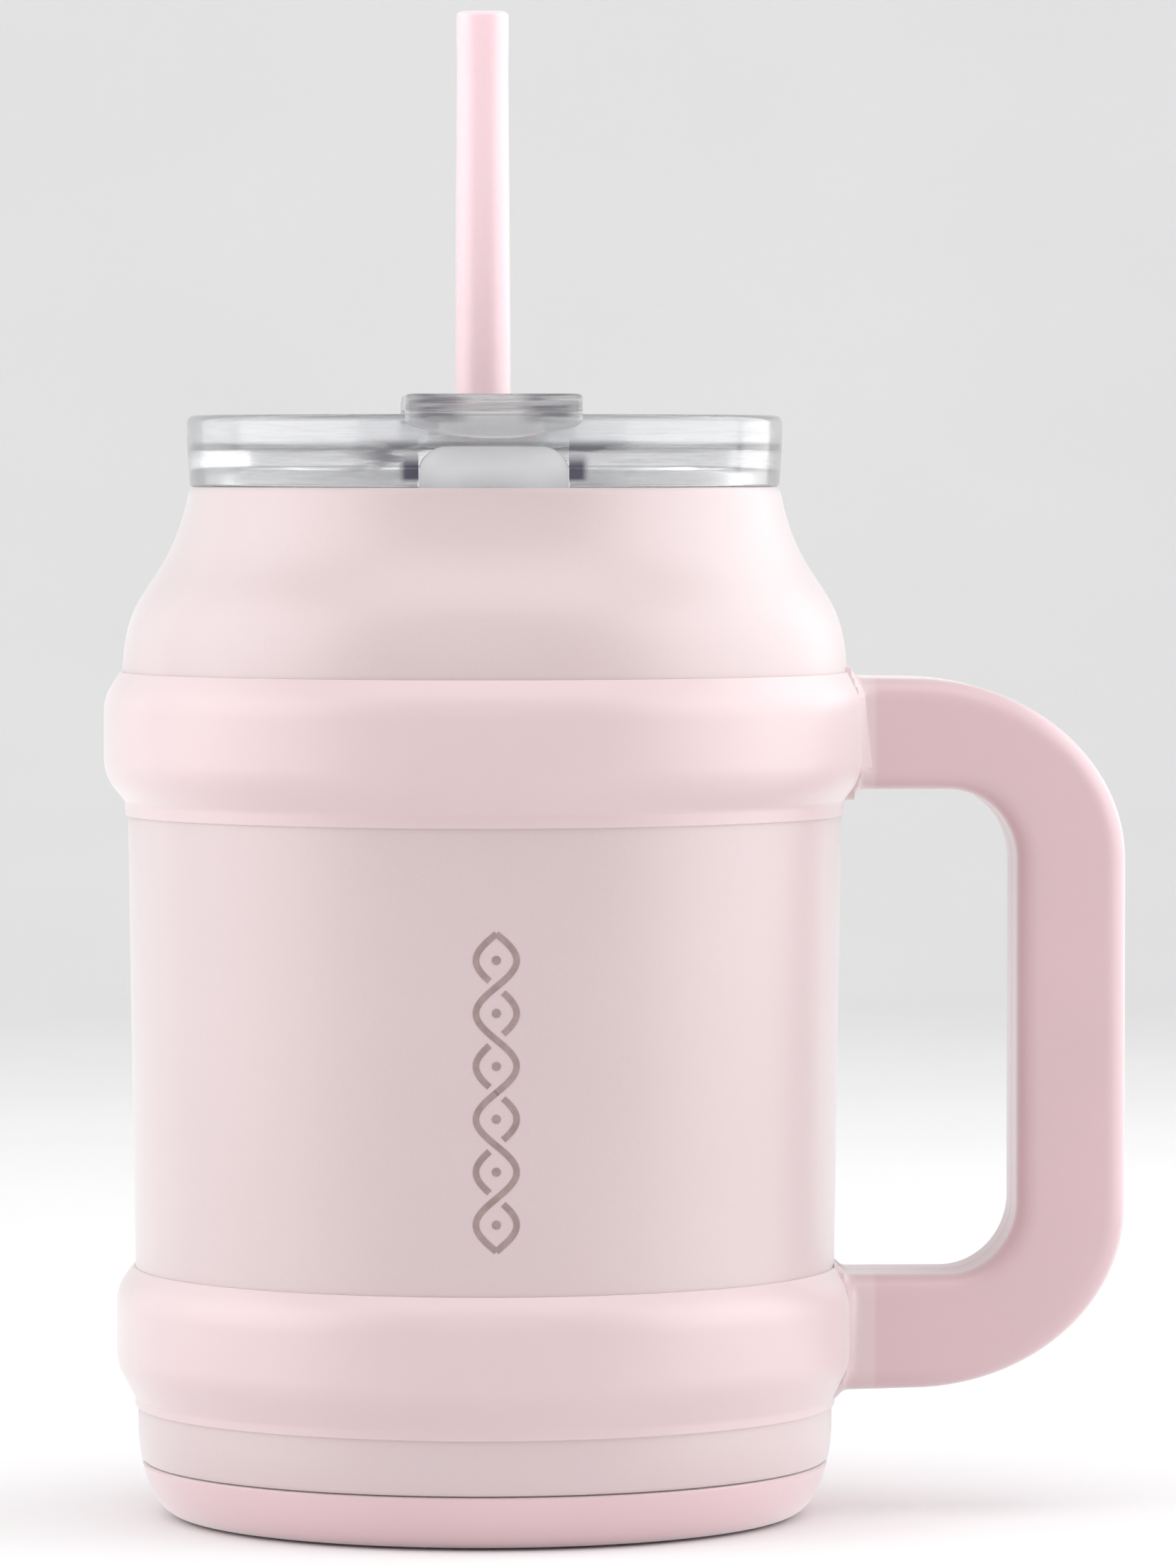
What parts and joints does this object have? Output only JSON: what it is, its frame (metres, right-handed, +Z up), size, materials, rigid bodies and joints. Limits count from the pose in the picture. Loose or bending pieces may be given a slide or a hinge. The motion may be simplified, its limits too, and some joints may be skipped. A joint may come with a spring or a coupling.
{
  "type": "insulated tumbler with lid",
  "caption": "Vacuum-walled pink steel tumbler mug with two moulded bands, a D handle, a clear press-in lid with a flip-up sip tab, and a straight straw.",
  "frame": {"origin": "centre of the base on the surface it stands on, on the vessel's axis", "axes": "+Z up along the vessel's axis, -Y towards the sip opening, +X towards the handle"},
  "size_m": [0.1714, 0.128, 0.2533],
  "materials": {
    "pearl_coat": "satin pearl powder coat",
    "bare_steel": "fine brushed",
    "copper_foil": "bright foil",
    "getter_metal": "sintered",
    "seal_glass": "glossy bead",
    "cup_plastic": "satin",
    "pink_silicone": "matte",
    "band_plastic": "satin",
    "handle_plastic": "satin",
    "pin_steel": "polished",
    "clear_plastic": "clear, polished",
    "clear_silicone": "translucent matte",
    "straw_plastic": "satin, slightly translucent"
  },
  "bodies": {
    "mug": {"outer_shell": "pearl_coat", "inner_vessel": "bare_steel", "inner_floor": "bare_steel", "reflective_foil": "copper_foil", "outer_base_cap": "bare_steel", "vacuum_getter": "getter_metal", "vacuum_seal_bead": "seal_glass", "base_cup": "cup_plastic", "foot_pad": "pink_silicone", "upper_band": "band_plastic", "lower_band": "band_plastic", "handle_front_half": "handle_plastic", "handle_back_half": "handle_plastic", "handle_pins": "pin_steel"},
    "lid": {"lid_body": "clear_plastic", "lid_gasket": "clear_silicone", "straw_grommet": "clear_silicone", "hinge_pin": "clear_plastic"},
    "sip_tab": {"sip_flap": "clear_plastic", "sip_plug": "clear_silicone"},
    "straw": {"straw": "straw_plastic"}
  },
  "joints": [
    {"name": "lid_lift", "type": "slide", "parent": "mug", "child": "lid", "axis": [0, 0, 1], "range_m": [0, 0.18]},
    {"name": "sip_tab_hinge", "type": "hinge", "parent": "lid", "child": "sip_tab", "pos_m": [0, -0.015, 0.184], "axis": [-1, 0, 0], "range_deg": [0, 110]},
    {"name": "straw_pull", "type": "slide", "parent": "lid", "child": "straw", "axis": [0, 0, 1], "range_m": [0, 0.18]}
  ]
}
